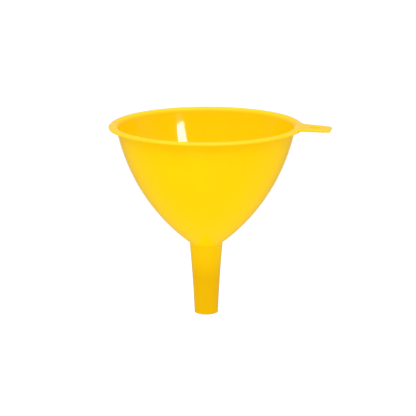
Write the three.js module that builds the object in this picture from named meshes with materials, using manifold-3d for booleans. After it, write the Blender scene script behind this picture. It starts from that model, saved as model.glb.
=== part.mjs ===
// Household filling funnel: one yellow polypropylene moulding, in millimetres, +Z up.
// Z runs along the funnel's axis. Z = 0 is the neck, where the bowl turns into the spout;
// the lip is above it, the spout hangs below, and the hang tab points along +X.
// The moulding is laid out as its four features, each its own solid: bowl, lip, spout and hang tab.
// They meet face to face on flat planes, with no gap and no overlap.

import * as THREE from 'three';
import { mergeVertices } from 'three/addons/utils/BufferGeometryUtils.js';
import Module from 'manifold-3d';

// Bowl
const bowlHeight = 75;          // from the neck up to the crest of the lip
const bowlCurve = 120.4;        // radius of the outer wall, seen in section
const neckDiameter = 20.8;      // outside, where the bowl and the spout meet
const wall = 1.2;               // thickness of the bowl, the lip and the spout

// Lip
const rimDiameter = 120;        // across the outer edge
const lipRoll = 3.45;           // outer radius where the wall turns over
const lipDrop = 1.2;            // from the crest down to the top of the edge
const lipEdge = 0.8;            // height of the upright edge all round

// Spout
const spoutLength = 45.6;       // from the neck down to the end
const tipDiameter = 14.7;       // outside, at the end
const spoutFlare = 0.31;        // how far the side bows in from a straight taper
const tipRound = 0.4;           // rounding of the end, inside and outside

// Hang tab
const tabReach = 17.6;          // how far it stands out past the lip
const tabRootWidth = 19.5;      // where it leaves the lip
const tabTipWidth = 14.1;       // near the end
const tabThickness = 1.5;
const tabDroop = 2.7;           // degrees it hangs down towards its end
const tabCornerRadius = 3;      // corners at the free end
const tabFillet = 3.7;          // hollow rounding between the tab and the lip
const tabSeatLand = 0.5;        // strip of lip beside each fillet that belongs to the tab
const hangHoleDiameter = 6.5;
const hangHoleFromTip = 9.9;    // from the end of the tab to the middle of the hole

const turns = 64;               // flats round each revolved face
const yellow = 0xffd30a;

// Section through the wall, drawn as (radius, height) pairs. The bowl's wall is one round sweep
// that starts at the neck and just touches the rolled lip; the inside runs parallel to the outside.
const neckRadius = neckDiameter / 2;
const rimRadius = rimDiameter / 2;
const innerCurve = bowlCurve - wall;
const lipUnder = lipRoll - wall;
const rollCentre = new THREE.Vector2(
  rimRadius - Math.sqrt(lipRoll ** 2 - (lipRoll - lipDrop) ** 2),
  bowlHeight - lipRoll);
const bowlCentre = touchingCentre(new THREE.Vector2(neckRadius, 0), rollCentre);
const bowlToRoll = rollCentre.clone().sub(bowlCentre).normalize();
const outerSplit = bowlCentre.clone().addScaledVector(bowlToRoll, bowlCurve);
const innerSplit = pointAtHeight(bowlCentre, innerCurve, outerSplit.y);

// Centre of the curve through one point that touches the underside of a roll about another.
function touchingCentre(point, roll) {
  const across = roll.clone().sub(point);
  const span = across.length();
  const along = (bowlCurve ** 2 - (bowlCurve + lipUnder) ** 2 + span ** 2) / (2 * span);
  const aside = Math.sqrt(bowlCurve ** 2 - along ** 2);
  across.divideScalar(span);
  const sideways = new THREE.Vector2(-across.y, across.x);
  return point.clone().addScaledVector(across, along).addScaledVector(sideways, aside);
}

// Where a circle comes to a given height, on the side away from the funnel's axis.
function pointAtHeight(centre, radius, height) {
  const rise = height - centre.y;
  return new THREE.Vector2(centre.x + Math.sqrt(radius ** 2 - rise ** 2), height);
}

function angleOf(point, centre) {
  return Math.atan2(point.y - centre.y, point.x - centre.x);
}

// Points of a round stretch about a centre, from one angle to another, both ends included.
function arc(centre, radius, from, to, steps) {
  return Array.from({ length: steps + 1 }, (_, step) => {
    const angle = THREE.MathUtils.lerp(from, to, step / steps);
    return new THREE.Vector2(Math.cos(angle), Math.sin(angle)).multiplyScalar(radius).add(centre);
  });
}

// A closed section turned once round the Z axis.
function revolve(section) {
  return new THREE.LatheGeometry([...section, section[0]], turns).rotateX(Math.PI / 2);
}

// Joining and cutting: closed surfaces become solids, and solids become surfaces again.
const wasm = await Module();
wasm.setup();

function toSolid(geometry) {
  const bare = geometry.clone();
  bare.deleteAttribute('normal');
  bare.deleteAttribute('uv');
  const merged = mergeVertices(bare);
  return new wasm.Manifold(new wasm.Mesh({
    numProp: 3,
    vertProperties: merged.attributes.position.array,
    triVerts: new Uint32Array(merged.index.array),
  }));
}

function toGeometry(solid) {
  const mesh = solid.getMesh();
  const geometry = new THREE.BufferGeometry();
  geometry.setAttribute('position', new THREE.BufferAttribute(mesh.vertProperties, 3));
  geometry.setIndex(new THREE.BufferAttribute(mesh.triVerts, 1));
  geometry.computeVertexNormals();
  return geometry;
}

// Bowl: the open cup, from the neck up to where the wall starts to turn over.
function bowlGeometry() {
  const steps = 10;
  const boreRadius = neckRadius - wall;
  const outerLow = angleOf(new THREE.Vector2(neckRadius, 0), bowlCentre);
  const outerHigh = angleOf(outerSplit, bowlCentre);
  const innerHigh = angleOf(innerSplit, bowlCentre);
  const innerLow = -Math.acos((boreRadius - bowlCentre.x) / innerCurve);
  return revolve([
    ...arc(bowlCentre, bowlCurve, outerLow, outerHigh, steps),
    ...arc(bowlCentre, innerCurve, innerHigh, innerLow, steps),
    new THREE.Vector2(boreRadius, 0),
  ]);
}

// Lip: the top of the wall turned outwards and over, ending in a narrow upright edge.
function lipGeometry() {
  const underSteps = 6;
  const topSteps = 8;
  const edgeTop = new THREE.Vector2(rimRadius, bowlHeight - lipDrop);
  const edgeFoot = new THREE.Vector2(rimRadius, bowlHeight - lipDrop - lipEdge);
  const rollStart = angleOf(outerSplit, rollCentre);
  const toFoot = angleOf(edgeFoot, rollCentre);
  const underEnd = toFoot + Math.acos(lipUnder / rollCentre.distanceTo(edgeFoot));
  return revolve([
    ...arc(rollCentre, lipUnder, rollStart, underEnd, underSteps),
    edgeFoot,
    ...arc(rollCentre, lipRoll, angleOf(edgeTop, rollCentre), rollStart, topSteps),
    innerSplit,
  ]);
}

// Spout: a tube that narrows towards its end and flares a little towards the neck.
function spoutGeometry() {
  const sideSteps = 5;
  const roundSteps = 3;
  const roundHeight = tipRound - spoutLength;
  const roundStart = 1 - tipRound / spoutLength;
  const side = (inset, share) => {
    const straight = THREE.MathUtils.lerp(neckRadius, tipDiameter / 2, share);
    const bow = 4 * share * (1 - share) * spoutFlare;
    return new THREE.Vector2(straight - bow - inset, -spoutLength * share);
  };
  const sidePoints = (inset) => Array.from({ length: sideSteps }, (_, step) => {
    return side(inset, roundStart * step / sideSteps);
  });
  const outerRound = new THREE.Vector2(side(0, roundStart).x - tipRound, roundHeight);
  const innerRound = new THREE.Vector2(side(wall, roundStart).x + tipRound, roundHeight);
  return revolve([
    ...sidePoints(0),
    ...arc(outerRound, tipRound, 0, -Math.PI / 2, roundSteps),
    ...arc(innerRound, tipRound, -Math.PI / 2, -Math.PI, roundSteps),
    ...sidePoints(wall).reverse(),
  ].reverse());
}

// Plan of the hang tab, seen from above. Its sides taper, its free corners are round, and hollow
// fillets lead into the edge of the lip. The root runs on inwards to the crest of the lip.
function tabPlan() {
  const tipX = rimRadius + tabReach;
  const sideStart = new THREE.Vector2(rimRadius, tabRootWidth / 2);
  const along = new THREE.Vector2(tipX, tabTipWidth / 2).sub(sideStart).normalize();
  const outward = new THREE.Vector2(-along.y, along.x);

  const offset = sideStart.clone().addScaledVector(outward, tabFillet);
  const back = offset.dot(along);
  const slide = -back + Math.sqrt(back ** 2 - offset.lengthSq() + (rimRadius + tabFillet) ** 2);
  const fillet = offset.clone().addScaledVector(along, slide);
  const filletRoot = fillet.clone().setLength(rimRadius);
  const filletFrom = angleOf(filletRoot, fillet);
  const filletTo = outward.angle() - Math.PI;

  const cornerX = tipX - tabCornerRadius;
  const cornerFall = (tabCornerRadius + (cornerX - rimRadius) * outward.x) / outward.y;
  const cornerY = tabRootWidth / 2 - cornerFall;
  const rootX = rollCentre.x - tabThickness;

  const plan = new THREE.Shape();
  plan.moveTo(rootX, filletRoot.y);
  plan.lineTo(rootX, -filletRoot.y);
  plan.absarc(fillet.x, -fillet.y, tabFillet, -filletFrom, -filletTo, true);
  plan.absarc(cornerX, -cornerY, tabCornerRadius, -outward.angle(), 0, false);
  plan.absarc(cornerX, cornerY, tabCornerRadius, 0, outward.angle(), false);
  plan.absarc(fillet.x, fillet.y, tabFillet, filletTo, filletFrom, true);
  plan.closePath();

  const hole = new THREE.Path();
  hole.absarc(tipX - hangHoleFromTip, 0, hangHoleDiameter / 2, 0, 2 * Math.PI, true);
  plan.holes.push(hole);
  return { plan, tipX, halfWidth: filletRoot.y };
}

// Hang tab and lip are moulded together: the tab takes the short stretch of lip that it grows
// from, and the lip is left with a square notch of the same size.
function lipAndTab() {
  const { plan, tipX, halfWidth } = tabPlan();
  const plate = new THREE.ExtrudeGeometry(plan, {
    depth: tabThickness,
    bevelEnabled: false,
    curveSegments: 8,
  });
  plate.translate(-rollCentre.x, 0, -tabThickness);
  plate.rotateY(THREE.MathUtils.degToRad(tabDroop));
  plate.translate(rollCentre.x, 0, bowlHeight);

  const seat = {
    length: tipX - rollCentre.x + tabThickness,
    width: 2 * (halfWidth + tabSeatLand),
    height: 2 * tabReach,
  };
  const notch = new THREE.BoxGeometry(seat.length, seat.width, seat.height);
  notch.translate(rollCentre.x + seat.length / 2, 0, bowlHeight);

  const ring = toSolid(lipGeometry());
  const zone = toSolid(notch);
  return {
    lip: toGeometry(ring.subtract(zone)),
    tab: toGeometry(ring.add(toSolid(plate)).intersect(zone)),
  };
}

// Assembly
function yellowPiece(name, geometry) {
  const material = new THREE.MeshStandardMaterial({ color: yellow, roughness: 0.25, metalness: 0 });
  const piece = new THREE.Mesh(geometry, material);
  piece.name = name;
  return piece;
}

const { lip, tab } = lipAndTab();
const funnel = new THREE.Group();
funnel.add(
  yellowPiece('bowl', bowlGeometry()),
  yellowPiece('lip', lip),
  yellowPiece('spout', spoutGeometry()),
  yellowPiece('hang_tab', tab));

export default funnel;
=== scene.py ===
import math

import bmesh
import bpy
from mathutils import Matrix, Vector


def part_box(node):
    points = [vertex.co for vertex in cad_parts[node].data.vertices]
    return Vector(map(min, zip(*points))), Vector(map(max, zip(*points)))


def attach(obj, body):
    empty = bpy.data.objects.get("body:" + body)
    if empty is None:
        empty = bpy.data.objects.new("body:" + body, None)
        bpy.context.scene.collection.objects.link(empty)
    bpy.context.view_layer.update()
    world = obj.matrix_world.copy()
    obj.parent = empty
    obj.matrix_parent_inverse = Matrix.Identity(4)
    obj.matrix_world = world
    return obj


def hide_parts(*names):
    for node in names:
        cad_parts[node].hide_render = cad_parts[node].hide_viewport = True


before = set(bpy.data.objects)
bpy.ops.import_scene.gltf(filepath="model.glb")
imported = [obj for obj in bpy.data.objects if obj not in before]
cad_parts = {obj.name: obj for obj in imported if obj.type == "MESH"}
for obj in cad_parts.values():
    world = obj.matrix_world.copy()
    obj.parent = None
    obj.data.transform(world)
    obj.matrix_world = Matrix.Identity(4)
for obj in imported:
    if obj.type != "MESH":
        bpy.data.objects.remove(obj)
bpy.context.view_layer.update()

MM = 0.001


# ---------------------------------------------------------------------------------------------
# Camera and studio
# The funnel hangs in front of a white sweep, seen a little from above with a long lens. White
# cloth lights it from all round, and a tall window draws one bright bar inside the bowl.

_, lip_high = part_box("lip")
spout_low, spout_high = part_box("spout")
crest_height = lip_high.z
view_turn = math.radians(8.5)
view_tilt = math.radians(13.42)
view_lean = math.radians(-0.13)
view_aim = math.radians(-0.057)
view_distance = 1.221
view_rise = 0.2379

camera_data = bpy.data.cameras.new("camera")
camera_data.sensor_width = 36
camera_data.lens = 174.3
camera_data.clip_start = 0.05
camera_data.clip_end = 50
camera = bpy.data.objects.new("camera", camera_data)
camera.location = (
    view_distance * math.sin(view_turn),
    -view_distance * math.cos(view_turn),
    crest_height + view_rise)
camera.rotation_euler = (
    Matrix.Rotation(view_turn + view_aim, 4, "Z")
    @ Matrix.Rotation(math.pi / 2 - view_tilt, 4, "X")
    @ Matrix.Rotation(view_lean, 4, "Z")).to_euler()
bpy.context.scene.collection.objects.link(camera)
bpy.context.scene.camera = camera
bpy.context.scene.view_settings.view_transform = "Standard"


def add_node(tree, kind, label, **settings):
    node = tree.nodes.new(kind)
    node.label = label
    node.name = label
    for name, value in settings.items():
        setattr(node, name, value)
    return node


# A ramp that gives one level before its start, another past its stop, and a blend in between.
def add_ramp(tree, label, start, stop, before, past, shape="SMOOTHSTEP"):
    ramp = add_node(tree, "ShaderNodeMapRange", label, interpolation_type=shape)
    ramp.inputs["From Min"].default_value = start
    ramp.inputs["From Max"].default_value = stop
    ramp.inputs["To Min"].default_value = before
    ramp.inputs["To Max"].default_value = past
    return ramp


# White cloth all round. Shiny surfaces see it bright behind the funnel and dim towards the room,
# dimmer below than above, with a bright panel straight overhead and another behind. The light that
# falls on the funnel from the cloth is stronger from above than from the sides. Ramps start and
# stop at parts of a direction: Y is 1 straight behind the funnel, and Z is 1 straight up.
def make_room(
        side_light, top_light, far_level, near_level, low_share, overhead_level,
        backdrop_way, backdrop_level):
    world = bpy.data.worlds.new("white_room")
    world.use_nodes = True
    world.cycles.sampling_method = "NONE"
    bpy.context.scene.world = world
    tree = world.node_tree
    tree.nodes.clear()
    link = tree.links.new

    way = add_node(tree, "ShaderNodeTexCoord", "direction")
    parts = add_node(tree, "ShaderNodeSeparateXYZ", "direction parts")
    link(way.outputs["Generated"], parts.inputs[0])

    depth = add_ramp(
        tree, "front to back", start=-0.35, stop=0.35, before=near_level, past=far_level)
    height = add_ramp(tree, "below to above", start=-0.15, stop=0.25, before=low_share, past=1)
    overhead = add_ramp(tree, "overhead", start=0.82, stop=0.97, before=0, past=overhead_level)
    facing = add_node(tree, "ShaderNodeVectorMath", "facing the backdrop", operation="DOT_PRODUCT")
    facing.inputs[1].default_value = backdrop_way
    backdrop = add_ramp(tree, "backdrop", start=0.92, stop=0.99, before=0, past=backdrop_level)
    panels = add_node(tree, "ShaderNodeMath", "overhead and backdrop", operation="ADD")
    gloss = add_node(tree, "ShaderNodeMath", "cloth in the gloss", operation="MULTIPLY_ADD")
    link(parts.outputs["Y"], depth.inputs["Value"])
    link(parts.outputs["Z"], height.inputs["Value"])
    link(parts.outputs["Z"], overhead.inputs["Value"])
    link(way.outputs["Generated"], facing.inputs[0])
    link(facing.outputs["Value"], backdrop.inputs["Value"])
    link(overhead.outputs["Result"], panels.inputs[0])
    link(backdrop.outputs["Result"], panels.inputs[1])
    link(depth.outputs["Result"], gloss.inputs[0])
    link(height.outputs["Result"], gloss.inputs[1])
    link(panels.outputs[0], gloss.inputs[2])

    falling = add_ramp(
        tree, "light that falls", start=0.2, stop=0.9, before=side_light, past=top_light)
    link(parts.outputs["Z"], falling.inputs["Value"])

    rays = add_node(tree, "ShaderNodeLightPath", "kind of ray")
    met = add_node(tree, "ShaderNodeMix", "cloth met by the funnel", data_type="FLOAT")
    seen = add_node(tree, "ShaderNodeMix", "cloth seen directly", data_type="FLOAT")
    seen.inputs["B"].default_value = 1
    cloth = add_node(tree, "ShaderNodeBackground", "cloth")
    cloth.inputs["Color"].default_value = (1, 1, 1, 1)
    room = add_node(tree, "ShaderNodeOutputWorld", "room")
    link(rays.outputs["Is Glossy Ray"], met.inputs["Factor"])
    link(falling.outputs["Result"], met.inputs["A"])
    link(gloss.outputs[0], met.inputs["B"])
    link(rays.outputs["Is Camera Ray"], seen.inputs["Factor"])
    link(met.outputs["Result"], seen.inputs["A"])
    link(seen.outputs["Result"], cloth.inputs["Strength"])
    link(cloth.outputs[0], room.inputs["Surface"])


make_room(
    side_light=0.64, top_light=1.52,
    far_level=0.32, near_level=0.016, low_share=0.6, overhead_level=1.5,
    backdrop_way=(-0.144, 0.962, -0.232), backdrop_level=0.64)


# A soft rectangular lamp that looks at a point and lights the colour without showing in the gloss.
def add_lamp(name, place, target, width, height, watts):
    data = bpy.data.lights.new(name, "AREA")
    data.shape = "RECTANGLE"
    data.size = width
    data.size_y = height
    data.energy = watts
    lamp = bpy.data.objects.new(name, data)
    lamp.location = place
    lamp.rotation_euler = (Vector(target) - Vector(place)).to_track_quat("-Z", "Y").to_euler()
    lamp.visible_glossy = False
    lamp.visible_camera = False
    bpy.context.scene.collection.objects.link(lamp)


bowl_mouth = (0, 0.04, crest_height)
bowl_middle = (0, 0, crest_height / 2)
add_lamp("high_cloth", (0, -0.80, 1.10), bowl_mouth, width=1.6, height=0.5, watts=6.0)
add_lamp("low_cloth", (0, 0, -0.25), bowl_middle, width=0.8, height=0.8, watts=0.34)


# A bright panel that shows in the gloss only.
def add_panel(name, corners, strength):
    mesh = bpy.data.meshes.new(name)
    mesh.from_pydata(corners, [], [(0, 1, 2, 3)])
    glow = bpy.data.materials.new(name)
    glow.use_nodes = True
    shader = glow.node_tree.nodes["Principled BSDF"]
    shader.inputs["Base Color"].default_value = (0, 0, 0, 1)
    shader.inputs["Specular IOR Level"].default_value = 0
    shader.inputs["Emission Color"].default_value = (1, 1, 1, 1)
    shader.inputs["Emission Strength"].default_value = strength
    mesh.materials.append(glow)
    panel = bpy.data.objects.new(name, mesh)
    panel.visible_camera = False
    panel.visible_diffuse = False
    panel.visible_shadow = False
    bpy.context.scene.collection.objects.link(panel)
    return panel


# The window: a tall upright pane, and below it a sill that throws back a little of its light.
pane_foot = [(0.852, -0.691, 0.414), (0.719, -0.836, 0.397)]
pane_head = [(0.621, -0.776, 0.671), (0.806, -0.608, 0.645)]
sill_foot = [(0.727, -0.856, 0.316), (0.900, -0.680, 0.301)]
window_pane = add_panel("window_pane", pane_foot + pane_head, strength=38)
window_sill = add_panel("window_sill", pane_foot + sill_foot, strength=1.3)

# Pale floor, far enough below that the funnel's soft shadow falls out of sight.
floor_height = spout_low.z - 0.22
floor_reach = 12
floor_paper = (0.88, 0.88, 0.88, 1)
floor_roughness = 0.9
floor_corners = [(-1, -1), (1, -1), (1, 1), (-1, 1)]
floor_mesh = bpy.data.meshes.new("floor")
floor_mesh.from_pydata(
    [(x * floor_reach, y * floor_reach, floor_height) for x, y in floor_corners],
    [], [(0, 1, 2, 3)])
floor = bpy.data.objects.new("floor", floor_mesh)
bpy.context.scene.collection.objects.link(floor)
floor_paint = bpy.data.materials.new("floor_paper")
floor_paint.use_nodes = True
floor_shader = floor_paint.node_tree.nodes["Principled BSDF"]
floor_shader.inputs["Base Color"].default_value = floor_paper
floor_shader.inputs["Roughness"].default_value = floor_roughness
floor_shader.inputs["Specular IOR Level"].default_value = 0
floor_mesh.materials.append(floor_paint)
floor.visible_glossy = False


# ---------------------------------------------------------------------------------------------
# Bowl
# The deep cup of the moulding: yellow polypropylene 1.2 mm thick. Its wall is one round sweep
# from the neck, where it is moulded in one with the spout, up to where it turns into the lip.

wall = 1.2 * MM
wall_curve = 120.4 * MM
inner_curve = wall_curve - wall
_, bowl_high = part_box("bowl")
neck_radius = spout_high.x
bore_radius = neck_radius - wall
split_height = bowl_high.z
split_radius = bowl_high.x
turns = 288
wall_steps = 72

# Mesh corners closer than this are one corner, and edges bent more than this are sharp.
weld_distance = 0.0001 * MM
sharp_angle = math.radians(40)


# Points of a round stretch about a centre, from one angle to another, both ends included.
def arc(centre, radius, start, stop, steps):
    points = []
    for step in range(steps + 1):
        angle = start + (stop - start) * step / steps
        points.append(Vector((centre.x + radius * math.cos(angle), centre.y + radius * math.sin(angle))))
    return points


def angle_of(point, centre):
    return math.atan2(point.y - centre.y, point.x - centre.x)


# Centre of the circle of a given radius through two points, on the axis side of them.
def centre_through(low, high, radius):
    middle = (low + high) / 2
    chord = high - low
    aside = math.sqrt(radius ** 2 - (chord.length / 2) ** 2)
    return middle + Vector((-chord.y, chord.x)).normalized() * aside


# Rounding of a corner between two straight runs, both ends included.
def round_corner(before, corner, after, radius, steps):
    back = (before - corner).normalized()
    ahead = (after - corner).normalized()
    half = back.angle(ahead) / 2
    reach = radius / math.tan(half)
    centre = corner + (back + ahead).normalized() * (radius / math.sin(half))
    start = angle_of(corner + back * reach, centre)
    stop = angle_of(corner + ahead * reach, centre)
    turn = (stop - start + math.pi) % (2 * math.pi) - math.pi
    return arc(centre, radius, start, start + turn, steps)


def make_piece(name, verts, faces):
    mesh = bpy.data.meshes.new(name)
    mesh.from_pydata(verts, [], faces)
    shape = bmesh.new()
    shape.from_mesh(mesh)
    bmesh.ops.remove_doubles(shape, verts=shape.verts, dist=weld_distance)
    bmesh.ops.recalc_face_normals(shape, faces=shape.faces)
    shape.to_mesh(mesh)
    shape.free()
    mesh.shade_smooth()
    mesh.set_sharp_from_angle(angle=sharp_angle)
    piece = bpy.data.objects.new(name, mesh)
    bpy.context.scene.collection.objects.link(piece)
    return piece


# A closed section of (radius, height) points turned once round the upright axis.
def revolve(name, section, steps):
    verts = []
    faces = []
    count = len(section)
    for turn in range(steps):
        angle = 2 * math.pi * turn / steps
        for point in section:
            verts.append((point.x * math.cos(angle), point.x * math.sin(angle), point.y))
        here = turn * count
        there = (turn + 1) % steps * count
        for i in range(count):
            j = (i + 1) % count
            faces.append((here + i, here + j, there + j, there + i))
    return make_piece(name, verts, faces)


neck_corner = Vector((neck_radius, 0))
rim_corner = Vector((split_radius, split_height))
wall_centre = centre_through(neck_corner, rim_corner, wall_curve)


def wall_point(curve, height):
    return Vector((wall_centre.x + math.sqrt(curve ** 2 - (height - wall_centre.y) ** 2), height))


# The spout's side narrows evenly, and bows in a little on the way down. Share is how far down it
# a point is, from 0 at the neck to 1 at the end, and inset is how far inside the outer surface.
spout_length = -spout_low.z
tip_radius = 7.35 * MM
spout_flare = 0.31 * MM


def spout_side(inset, share):
    straight = neck_radius + (tip_radius - neck_radius) * share
    bow = 4 * share * (1 - share) * spout_flare
    return Vector((straight - bow - inset, -spout_length * share))


# Outside, the wall runs into the spout over a hollow rounding, which the two share: the bowl has
# the points above the seam between them, and the spout has the points below it.
def neck_rounding(radius, steps):
    nearby = 3 * MM
    above = wall_point(wall_curve, nearby)
    below = spout_side(0, nearby / spout_length)
    points = round_corner(above, neck_corner, below, radius, steps)
    upper = [point for point in points if point.y > 0]
    lower = [point for point in points if point.y <= 0]
    share = upper[-1].y / (upper[-1].y - lower[0].y)
    return upper, upper[-1].lerp(lower[0], share), lower


neck_above, neck_seam, neck_below = neck_rounding(radius=2 * MM, steps=12)


# The inside of the wall runs into the bore over a small rounding, which keeps liquid moving.
def throat_rounding(radius, steps):
    centre = Vector((bore_radius + radius, 0))
    across = centre.x - wall_centre.x
    centre.y = wall_centre.y - math.sqrt((inner_curve + radius) ** 2 - across ** 2)
    return arc(centre, radius, angle_of(wall_centre, centre), math.pi, steps)


def bowl_section():
    throat = throat_rounding(radius=1.2 * MM, steps=8)
    outer_low = angle_of(neck_above[0], wall_centre)
    outer_high = angle_of(rim_corner, wall_centre)
    inner_high = angle_of(wall_point(inner_curve, split_height), wall_centre)
    inner_low = angle_of(throat[0], wall_centre)
    neck = [neck_seam] + list(reversed(neck_above))
    outer = neck + arc(wall_centre, wall_curve, outer_low, outer_high, wall_steps)[1:]
    inner = arc(wall_centre, inner_curve, inner_high, inner_low, wall_steps)
    return outer + inner[:-1] + throat + [Vector((bore_radius, 0))]


# Yellow polypropylene as it leaves the mould. The colour drifts a little along the lines that
# the melt flowed in, the gloss breaks up in faint clouds, and the skin has a fine orange peel.
# Where asked, the colour is also darkened down the spout as painted shade.
def make_moulded_skin():
    group = bpy.data.node_groups.new("moulded_skin", "ShaderNodeTree")
    socket = group.interface.new_socket
    socket("Colour", in_out="INPUT", socket_type="NodeSocketColor")
    socket("Deep Colour", in_out="INPUT", socket_type="NodeSocketColor")
    socket("Flow Marks", in_out="INPUT", socket_type="NodeSocketFloat")
    socket("Gloss Roughness", in_out="INPUT", socket_type="NodeSocketFloat")
    socket("Cloudiness", in_out="INPUT", socket_type="NodeSocketFloat")
    socket("Painted Spout Shade", in_out="INPUT", socket_type="NodeSocketFloat")
    socket("Colour", in_out="OUTPUT", socket_type="NodeSocketColor")
    socket("Roughness", in_out="OUTPUT", socket_type="NodeSocketFloat")
    socket("Height", in_out="OUTPUT", socket_type="NodeSocketFloat")
    given = add_node(group, "NodeGroupInput", "given")
    result = add_node(group, "NodeGroupOutput", "result")
    place = add_node(group, "ShaderNodeTexCoord", "place")
    link = group.links.new

    # Flow lines run up the wall, so the noise is stretched along the height.
    stretch = add_node(group, "ShaderNodeVectorMath", "stretch upwards", operation="MULTIPLY")
    stretch.inputs[1].default_value = (1, 1, 0.12)
    flow = add_node(group, "ShaderNodeTexNoise", "flow lines")
    flow.inputs["Scale"].default_value = 160
    flow.inputs["Detail"].default_value = 3
    marks = add_node(group, "ShaderNodeMath", "flow strength", operation="MULTIPLY")
    tint = add_node(group, "ShaderNodeMix", "flow colour", data_type="RGBA")
    link(place.outputs["Object"], stretch.inputs[0])
    link(stretch.outputs[0], flow.inputs["Vector"])
    link(flow.outputs["Fac"], marks.inputs[0])
    link(given.outputs["Flow Marks"], marks.inputs[1])
    link(marks.outputs[0], tint.inputs["Factor"])
    link(given.outputs["Colour"], tint.inputs["A"])
    link(given.outputs["Deep Colour"], tint.inputs["B"])

    # Painted shade: the colour is darkened down the spout, standing in for the light inside the thin
    # wall that gets less far down it.
    parts = add_node(group, "ShaderNodeSeparateXYZ", "place parts")
    down = add_ramp(
        group, "down the spout", start=-1 * MM, stop=-22 * MM, before=0, past=1, shape="LINEAR")
    shade = add_node(group, "ShaderNodeMath", "shade strength", operation="MULTIPLY")
    darker = add_node(group, "ShaderNodeMix", "shaded colour", data_type="RGBA", blend_type="MULTIPLY")
    darker.inputs["B"].default_value = (0.80, 0.71, 0.6, 1)
    link(place.outputs["Object"], parts.inputs[0])
    link(parts.outputs["Z"], down.inputs["Value"])
    link(down.outputs["Result"], shade.inputs[0])
    link(given.outputs["Painted Spout Shade"], shade.inputs[1])
    link(shade.outputs[0], darker.inputs["Factor"])
    link(tint.outputs["Result"], darker.inputs["A"])
    link(darker.outputs["Result"], result.inputs["Colour"])

    # Clouds raise and lower the roughness about its middle value.
    clouds = add_node(group, "ShaderNodeTexNoise", "clouds")
    clouds.inputs["Scale"].default_value = 45
    clouds.inputs["Detail"].default_value = 4
    centred = add_node(group, "ShaderNodeMath", "centred clouds", operation="SUBTRACT")
    centred.inputs[1].default_value = 0.5
    spread = add_node(group, "ShaderNodeMath", "cloud spread", operation="MULTIPLY_ADD")
    link(place.outputs["Object"], clouds.inputs["Vector"])
    link(clouds.outputs["Fac"], centred.inputs[0])
    link(centred.outputs[0], spread.inputs[0])
    link(given.outputs["Cloudiness"], spread.inputs[1])
    link(given.outputs["Gloss Roughness"], spread.inputs[2])
    link(spread.outputs[0], result.inputs["Roughness"])

    peel = add_node(group, "ShaderNodeTexNoise", "orange peel")
    peel.inputs["Scale"].default_value = 900
    peel.inputs["Detail"].default_value = 2
    link(place.outputs["Object"], peel.inputs["Vector"])
    link(peel.outputs["Fac"], result.inputs["Height"])
    return group


moulded_skin = make_moulded_skin()
melt_yellow = (0.95, 0.605, 0.002, 1)
melt_amber = (0.93, 0.53, 0.001, 1)


def make_plastic(name, colour, deep_colour, flow_marks, gloss_roughness, painted_spout_shade=0):
    plastic = bpy.data.materials.new(name)
    plastic.use_nodes = True
    tree = plastic.node_tree
    shader = tree.nodes["Principled BSDF"]
    shader.inputs["IOR"].default_value = 1.49
    shader.inputs["Specular IOR Level"].default_value = 0.25
    skin = add_node(tree, "ShaderNodeGroup", "skin", node_tree=moulded_skin)
    skin.inputs["Colour"].default_value = colour
    skin.inputs["Deep Colour"].default_value = deep_colour
    skin.inputs["Flow Marks"].default_value = flow_marks
    skin.inputs["Gloss Roughness"].default_value = gloss_roughness
    skin.inputs["Cloudiness"].default_value = 0.05
    skin.inputs["Painted Spout Shade"].default_value = painted_spout_shade
    bump = add_node(tree, "ShaderNodeBump", "orange peel")
    bump.inputs["Strength"].default_value = 0.25
    bump.inputs["Distance"].default_value = 0.02 * MM
    tree.links.new(skin.outputs["Colour"], shader.inputs["Base Color"])
    tree.links.new(skin.outputs["Roughness"], shader.inputs["Roughness"])
    tree.links.new(skin.outputs["Height"], bump.inputs["Height"])
    tree.links.new(bump.outputs["Normal"], shader.inputs["Normal"])
    return plastic


# Every piece of the moulding moves as one body and stands for its own solid.
def finish_piece(piece, plastic, node):
    piece.data.materials.clear()
    piece.data.materials.append(plastic)
    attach(piece, "root")
    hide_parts(node)


bowl = revolve("bowl_wall", bowl_section(), turns)
bowl_plastic = make_plastic(
    "bowl_plastic", melt_yellow, melt_amber, flow_marks=0.35, gloss_roughness=0.07)
finish_piece(bowl, bowl_plastic, "bowl")

# Light linking keeps the window's glare off the lip, so that only the bowl shows it.
window_side = bpy.data.collections.new("window_side")
window_side.objects.link(bowl)
window_pane.light_linking.receiver_collection = window_side
window_sill.light_linking.receiver_collection = window_side


# ---------------------------------------------------------------------------------------------
# Spout
# The pouring tube below the neck, of the same yellow polypropylene and moulded in one with the
# bowl. It narrows towards its end with the mould's draft, flares a little at the top, and its end
# is cut square with softened edges.

tip_round = 0.55 * MM
side_steps = 40
tip_steps = 8


def spout_section():
    last = 1 - tip_round / spout_length
    sides = [spout_side(0, last * step / side_steps) for step in range(side_steps)]
    outer = [neck_seam] + neck_below + [side for side in sides if side.y < neck_below[-1].y]
    inner = [spout_side(wall, last * step / side_steps) for step in range(side_steps)]
    outer_round = spout_side(0, last) - Vector((tip_round, 0))
    inner_round = spout_side(wall, last) + Vector((tip_round, 0))
    tip = arc(outer_round, tip_round, 0, -math.pi / 2, tip_steps)
    tip += arc(inner_round, tip_round, -math.pi / 2, -math.pi, tip_steps)
    return list(reversed(outer + tip + list(reversed(inner))))


spout = revolve("spout_tube", spout_section(), turns // 2)
# The spout's colour darkens towards its end: painted shade.
spout_plastic = make_plastic(
    "spout_plastic", melt_yellow, melt_amber, flow_marks=0.6, gloss_roughness=0.08, painted_spout_shade=1)
finish_piece(spout, spout_plastic, "spout")


# ---------------------------------------------------------------------------------------------
# Lip
# The top of the wall turned outwards and over, in one with the bowl, which it keeps round. It is
# a roll of the same yellow polypropylene that ends in a narrow upright edge.

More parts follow.
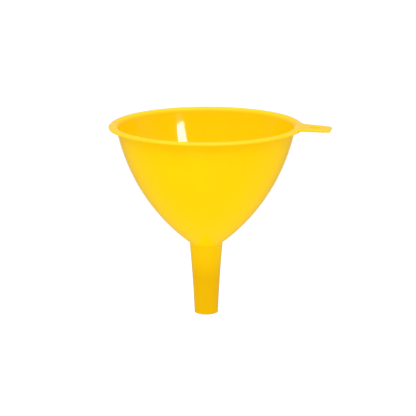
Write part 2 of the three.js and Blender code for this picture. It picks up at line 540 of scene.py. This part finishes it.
rim_radius = lip_high.y
lip_roll = 3.45 * MM
lip_under = lip_roll - wall
lip_drop = 1.2 * MM
lip_edge = 0.8 * MM
foot_round = 0.3 * MM
roll_centre = Vector((
    rim_radius - math.sqrt(lip_roll ** 2 - (lip_roll - lip_drop) ** 2),
    crest_height - lip_roll))
inner_split = wall_point(inner_curve, split_height)
roll_start = angle_of(rim_corner, roll_centre)
edge_top = Vector((rim_radius, crest_height - lip_drop))
edge_foot = Vector((rim_radius, crest_height - lip_drop - lip_edge))
under_end = angle_of(edge_foot, roll_centre) + math.acos(lip_under / (edge_foot - roll_centre).length)
under_point = roll_centre + lip_under * Vector((math.cos(under_end), math.sin(under_end)))

# Counts of points along each stretch of the lip's section, from the wall's inside over the crest
# and round to the underside.
inside_steps = 16
top_steps = 14
edge_steps = 6
flat_steps = 10
foot_steps = 6
line_steps = 5
under_steps = 14
lip_turns = 272


def between(start, stop, steps):
    return [start.lerp(stop, step / steps) for step in range(steps + 1)]


# The outer part of the lip's section, from its crest to where its underside starts to curve.
def lip_profile():
    edge_start = angle_of(edge_top, roll_centre)
    top = arc(roll_centre, lip_roll, math.pi / 2, edge_start, top_steps)
    foot = round_corner(edge_top, edge_foot, under_point, foot_round, foot_steps)
    face = between(edge_top, foot[0], 2 * edge_steps + flat_steps + 2)
    line = between(foot[-1], under_point, line_steps)
    return top + face[1:-1] + foot + line[1:]


# A point of the lip's section, turned round the axis to a given direction.
def turned(point, radial):
    return Vector((point.x * radial.x, point.x * radial.y, point.y))


def plain_stations(place):
    radial = place.normalized()
    return [turned(point, radial) for point in lip_profile()]


# The closed section at one place on the lip's edge: up the inside of the wall, over the crest,
# out and back along the given stations, and under.
def closed_row(place, stations):
    radial = place.normalized()
    inside = [inner_split] + arc(roll_centre, lip_roll, roll_start, math.pi / 2, inside_steps)[:-1]
    under = arc(roll_centre, lip_under, under_end, roll_start, under_steps)[1:]
    return [turned(p, radial) for p in inside] + stations + [turned(p, radial) for p in under]


# Skins a run of closed sections and closes both of its ends.
def skin_rows(name, rows):
    count = len(rows[0])
    verts = [point for row in rows for point in row]
    faces = [tuple(reversed(range(count)))]
    for here in range(0, (len(rows) - 1) * count, count):
        for i in range(count):
            j = (i + 1) % count
            faces.append((here + i, here + j, here + count + j, here + count + i))
    faces.append(tuple(range(len(verts) - count, len(verts))))
    return make_piece(name, verts, faces)


def heading(angle):
    return Vector((math.cos(angle), math.sin(angle)))


# The lip gives way to the hang tab, whose tapering sides run into its edge over hollow fillets.
# Past the end of each fillet the tab keeps a little of the lip, over which its swelling fades.
_, tab_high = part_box("hang_tab")
tab_tip = tab_high.x
tab_root_half = 9.75 * MM
tab_tip_half = 7.05 * MM
tab_fillet = 3.7 * MM
fillet_steps = 16
fade = math.radians(3.5)
on_axis = Vector((0, 0))
side_start = Vector((rim_radius, tab_root_half))
side_way = (Vector((tab_tip, tab_tip_half)) - side_start).normalized()
side_out = Vector((-side_way.y, side_way.x))


def fillet_middle():
    offset = side_start + side_out * tab_fillet
    back = offset.dot(side_way)
    slide = -back + math.sqrt(back ** 2 - offset.length_squared + (rim_radius + tab_fillet) ** 2)
    return offset + side_way * slide


fillet_centre = fillet_middle()
fillet_from = angle_of(fillet_centre - side_out, fillet_centre)
fillet_to = angle_of(on_axis, fillet_centre)
fillet_arc = arc(fillet_centre, tab_fillet, fillet_from, fillet_to, fillet_steps)
fillet_end = angle_of(fillet_arc[-1], on_axis)
tab_edge = fillet_end + fade

lip_rows = []
for step in range(lip_turns + 1):
    radial = heading(tab_edge + (2 * math.pi - 2 * tab_edge) * step / lip_turns)
    place = radial * rim_radius
    lip_rows.append(closed_row(place, plain_stations(place)))
lip = skin_rows("lip_ring", lip_rows)

# The lip and tab take a slightly deeper copy of the bowl's yellow: painted shade that keeps them darker
# than the bowl.
lip_shaded_yellow = (0.94, 0.56, 0.002, 1)
lip_plastic = make_plastic("lip_plastic", lip_shaded_yellow, melt_amber, flow_marks=0.3, gloss_roughness=0.2)
finish_piece(lip, lip_plastic, "lip")


# ---------------------------------------------------------------------------------------------
# Hang tab
# On one side the lip swells into a flat tongue of the same plastic, 1.5 mm thick, moulded in one
# with it. A round hole in the tongue hangs the funnel on a hook.

tab_thick = 1.5 * MM
tab_droop = math.radians(2.7)
tab_corner = 3 * MM
tab_round = 0.7 * MM
hole_radius = 3.25 * MM
hole_from_tip = 9.9 * MM
hole_soft = 0.5 * MM

end_steps = 8
corner_steps = 14
taper_steps = 24
fade_steps = 8
hole_steps = 6
hole_turns = 64


# Plan of the tab, half of it: places and outward directions from the middle of its end round to
# the lip. A corner, the tapering side and the hollow fillet follow one another.
def tab_outline():
    corner_x = tab_tip - tab_corner
    corner_y = tab_root_half - (tab_corner + (corner_x - rim_radius) * side_out.x) / side_out.y
    corner = Vector((corner_x, corner_y))
    outline = []
    for step in range(end_steps):
        outline.append((Vector((tab_tip, corner_y * step / end_steps)), Vector((1, 0))))
    for point in arc(corner, tab_corner, 0, angle_of(side_out, on_axis), corner_steps):
        outline.append((point, (point - corner).normalized()))
    side_end = fillet_centre - side_out * tab_fillet
    for point in between(outline[-1][0], side_end, taper_steps)[1:-1]:
        outline.append((point, side_out))
    for point in fillet_arc:
        outline.append((point, (fillet_centre - point).normalized()))
    return outline


def tab_height(radius):
    return crest_height - (radius - roll_centre.x) * math.tan(tab_droop)


# One cut through the swollen lip, from its crest out along the tab's top, round its edge and back
# under it to the lip. It has as many points as the plain lip has down to the foot of its edge.
def tab_stations(place, outward):
    radial = place.normalized()
    shoulder = place - outward * tab_round
    top = tab_height(place.length)
    low = top - tab_thick
    stations = []
    for flat in between(radial * roll_centre.x, shoulder, top_steps):
        stations.append(Vector((flat.x, flat.y, tab_height(flat.length))))
    for centre_height, start in ((top - tab_round, math.pi / 2), (low + tab_round, 0)):
        for step in range(edge_steps + 1):
            angle = start - math.pi / 2 * step / edge_steps
            flat = shoulder + outward * tab_round * math.cos(angle)
            stations.append(Vector((flat.x, flat.y, centre_height + tab_round * math.sin(angle))))
    del stations[top_steps + 1]
    for flat in between(shoulder, radial * rim_radius, flat_steps)[1:]:
        stations.append(Vector((flat.x, flat.y, tab_height(flat.length) - tab_thick)))
    return stations


# The closed section at one place, where share is how much of the tab it has, from 0, the plain
# lip, to 1.
def tab_row(place, outward, share):
    plain = plain_stations(place)
    row = plain
    if share > 0:
        swollen = tab_stations(place, outward)
        row = [flat.lerp(full, share) for flat, full in zip(plain, swollen)] + plain[len(swollen):]
    return closed_row(place, row)


def smooth_share(value):
    return value * value * (3 - 2 * value)


half_rows = [tab_row(place, outward, 1) for place, outward in tab_outline()]
for step in range(1, fade_steps + 1):
    radial = heading(fillet_end + fade * step / fade_steps)
    share = smooth_share(1 - step / fade_steps)
    half_rows.append(tab_row(radial * rim_radius, radial, share))
mirrored = [[Vector((p.x, -p.y, p.z)) for p in row] for row in half_rows[:0:-1]]
hang_tab = skin_rows("hang_tab_tongue", mirrored + half_rows)


# A pin in the shape of the hang hole, whose edges are moulded soft, top and bottom.
def hole_pin():
    clear = 1 * MM
    wide = hole_radius + hole_soft
    upper = arc(Vector((wide, -hole_soft)), hole_soft, math.pi / 2, math.pi, hole_steps)
    lower_centre = Vector((wide, hole_soft - tab_thick))
    lower = arc(lower_centre, hole_soft, math.pi, math.pi * 1.5, hole_steps)
    section = [Vector((0, clear)), Vector((wide, clear))] + upper + lower
    section += [Vector((wide, -tab_thick - clear)), Vector((0, -tab_thick - clear))]
    pin = revolve("hole_pin", list(reversed(section)), hole_turns)
    centre_x = tab_tip - hole_from_tip
    pin.data.transform(
        Matrix.Translation((centre_x, 0, tab_height(centre_x)))
        @ Matrix.Rotation(tab_droop, 4, "Y"))
    return pin


def cut_away(piece, tool):
    cut = piece.modifiers.new("hole", "BOOLEAN")
    cut.operation = "DIFFERENCE"
    cut.solver = "EXACT"
    cut.object = tool
    shown = piece.evaluated_get(bpy.context.evaluated_depsgraph_get())
    piece.data = bpy.data.meshes.new_from_object(shown)
    piece.modifiers.clear()
    piece.data.set_sharp_from_angle(angle=sharp_angle)
    bpy.data.objects.remove(tool)


cut_away(hang_tab, hole_pin())
# The tab shares the lip's deeper yellow, the same painted shade.
tab_plastic = make_plastic("tab_plastic", lip_shaded_yellow, melt_amber, flow_marks=0.3, gloss_roughness=0.14)
finish_piece(hang_tab, tab_plastic, "hang_tab")
